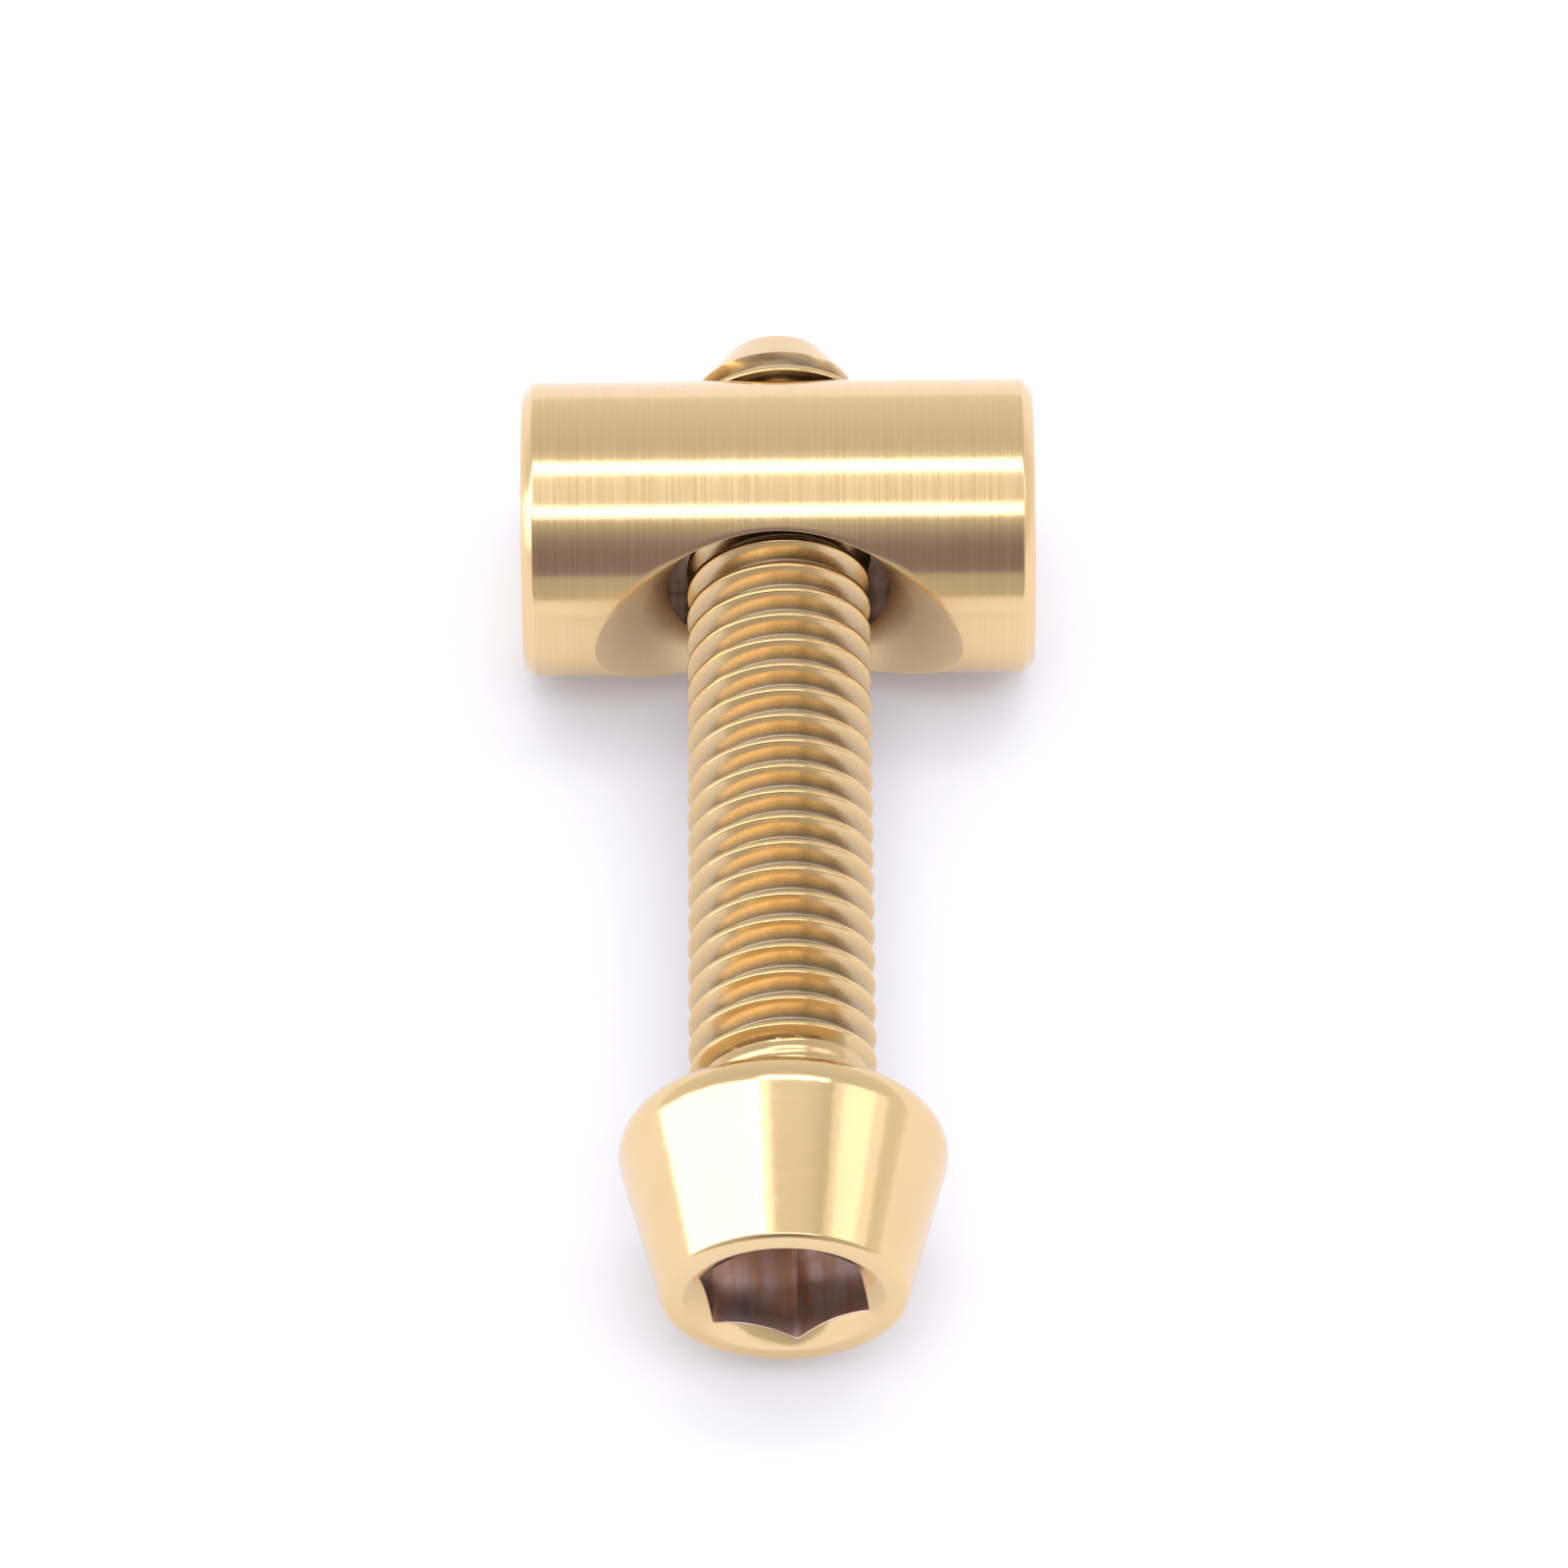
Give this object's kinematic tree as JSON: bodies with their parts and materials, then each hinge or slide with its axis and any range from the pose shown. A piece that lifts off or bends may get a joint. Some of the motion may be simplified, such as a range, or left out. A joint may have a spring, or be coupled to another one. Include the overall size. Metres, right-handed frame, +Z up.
{
  "type": "seat clamp bolt",
  "caption": "Gold-coated clamp bolt with a tapered hexagon socket head and a fine metric thread, screwed through a cross-drilled barrel nut with countersunk mouths.",
  "frame": {"origin": "middle of the ring-shaped seat under the head, on the bolt's axis", "axes": "+Y along the bolt from the head to the free end, X along the barrel nut, Z up"},
  "size_m": [0.0138, 0.0296, 0.0086],
  "materials": {
    "gold_coat_bolt": "polished gold nitride coat on titanium",
    "gold_coat_nut": "fine-turned gold nitride coat on titanium"
  },
  "bodies": {
    "bolt": {"bolt": "gold_coat_bolt"},
    "nut": {"barrel_nut": "gold_coat_nut"}
  },
  "joints": [
    {"name": "nut_travel", "type": "slide", "parent": "bolt", "child": "nut", "axis": [0, 1, 0], "range_m": [-0.0144, 0.0048]}
  ]
}
